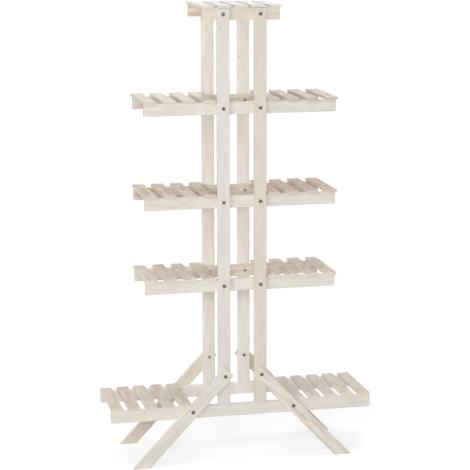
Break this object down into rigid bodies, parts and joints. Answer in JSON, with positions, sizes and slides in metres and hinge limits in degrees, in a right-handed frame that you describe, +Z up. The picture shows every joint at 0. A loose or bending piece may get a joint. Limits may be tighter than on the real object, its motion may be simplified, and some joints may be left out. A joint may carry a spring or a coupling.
{
  "type": "plant shelf",
  "caption": "Free-standing tiered plant stand of whitewashed softwood boards: two bolted frames on slanted legs, tied by slatted shelves.",
  "frame": {"origin": "on the floor, under the middle of the stand", "axes": "+Z up, +X to the right along the shelves, +Y to the rear"},
  "size_m": [0.826, 0.2776, 1.42],
  "materials": {
    "whitewashed_wood": "whitewashed, open grain, matt",
    "steel": "dull zinc plate"
  },
  "bodies": {
    "root": {"base_front_rail": "whitewashed_wood", "base_left_slat_1": "whitewashed_wood", "base_left_slat_2": "whitewashed_wood", "base_left_slat_3": "whitewashed_wood", "base_left_slat_4": "whitewashed_wood", "base_left_slat_5": "whitewashed_wood", "base_rear_rail": "whitewashed_wood", "base_right_slat_1": "whitewashed_wood", "base_right_slat_2": "whitewashed_wood", "base_right_slat_3": "whitewashed_wood", "base_right_slat_4": "whitewashed_wood", "base_right_slat_5": "whitewashed_wood", "bolts": "steel", "front_left_leg": "whitewashed_wood", "front_left_post": "whitewashed_wood", "front_right_leg": "whitewashed_wood", "front_right_post": "whitewashed_wood", "low_front_rail": "whitewashed_wood", "low_left_slat_1": "whitewashed_wood", "low_left_slat_2": "whitewashed_wood", "low_left_slat_3": "whitewashed_wood", "low_left_slat_4": "whitewashed_wood", "low_rear_rail": "whitewashed_wood", "low_right_slat_1": "whitewashed_wood", "low_right_slat_2": "whitewashed_wood", "low_right_slat_3": "whitewashed_wood", "low_right_slat_4": "whitewashed_wood", "middle_front_rail": "whitewashed_wood", "middle_left_slat_1": "whitewashed_wood", "middle_left_slat_2": "whitewashed_wood", "middle_left_slat_3": "whitewashed_wood", "middle_left_slat_4": "whitewashed_wood", "middle_rear_rail": "whitewashed_wood", "middle_right_slat_1": "whitewashed_wood", "middle_right_slat_2": "whitewashed_wood", "middle_right_slat_3": "whitewashed_wood", "middle_right_slat_4": "whitewashed_wood", "nuts": "steel", "rear_left_leg": "whitewashed_wood", "rear_left_post": "whitewashed_wood", "rear_right_leg": "whitewashed_wood", "rear_right_post": "whitewashed_wood", "top_front_rail": "whitewashed_wood", "top_rear_rail": "whitewashed_wood", "top_slat_1": "whitewashed_wood", "top_slat_2": "whitewashed_wood", "top_slat_3": "whitewashed_wood", "top_slat_4": "whitewashed_wood", "top_slat_5": "whitewashed_wood", "upper_front_rail": "whitewashed_wood", "upper_left_slat_1": "whitewashed_wood", "upper_left_slat_2": "whitewashed_wood", "upper_left_slat_3": "whitewashed_wood", "upper_left_slat_4": "whitewashed_wood", "upper_rear_rail": "whitewashed_wood", "upper_right_slat_1": "whitewashed_wood", "upper_right_slat_2": "whitewashed_wood", "upper_right_slat_3": "whitewashed_wood", "upper_right_slat_4": "whitewashed_wood"}
  },
  "joints": []
}
